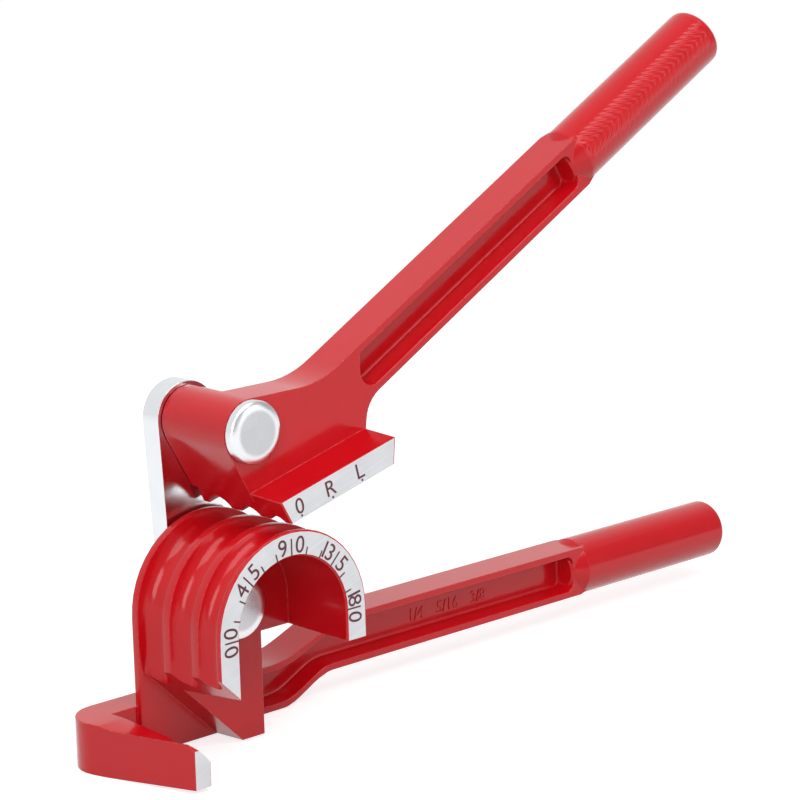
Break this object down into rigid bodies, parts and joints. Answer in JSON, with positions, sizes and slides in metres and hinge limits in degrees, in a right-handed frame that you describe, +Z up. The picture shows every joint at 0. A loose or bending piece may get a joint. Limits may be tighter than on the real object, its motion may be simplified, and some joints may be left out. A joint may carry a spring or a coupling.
{
  "type": "tube bender",
  "caption": "Hand lever tube bender: cast red handles with a grooved half-round forming wheel, a tube hook and a pivoted shoe on a steel link.",
  "frame": {"origin": "middle of the bounding box's bottom face, under the foot of the forming handle", "axes": "+X along the forming handle toward its grip, +Y from the scale side of the wheel to its back, +Z up"},
  "size_m": [0.2338, 0.048, 0.169],
  "materials": {
    "forming_handle": "glossy red paint on a casting, with a bare machined front face on the wheel and bare grooves",
    "bending_handle": "glossy red paint on a casting, with a bare machined front face on the shoe",
    "link_plate": "bright plated steel",
    "forming_pin": "bright plated steel, lightly worn",
    "bending_pin": "bright plated steel, lightly worn",
    "forming_spacer": "plain steel",
    "forming_washer": "plain steel",
    "bending_washer": "plain steel"
  },
  "bodies": {
    "forming": {"forming_handle": "forming_handle", "forming_pin": "forming_pin", "forming_washer": "forming_washer"},
    "link": {"link_plate": "link_plate", "forming_spacer": "forming_spacer", "bending_pin": "bending_pin", "bending_washer": "bending_washer"},
    "bending": {"bending_handle": "bending_handle"}
  },
  "joints": [
    {"name": "link_swing", "type": "hinge", "parent": "forming", "child": "link", "pos_m": [-0.0767, 0, 0.0353], "axis": [0, 1, 0], "range_deg": [-87.1, 92.8]},
    {"name": "handle_pivot", "type": "hinge", "parent": "link", "child": "bending", "pos_m": [-0.07923, 0, 0.08203], "axis": [0, 1, 0], "range_deg": [-126, 18]}
  ]
}
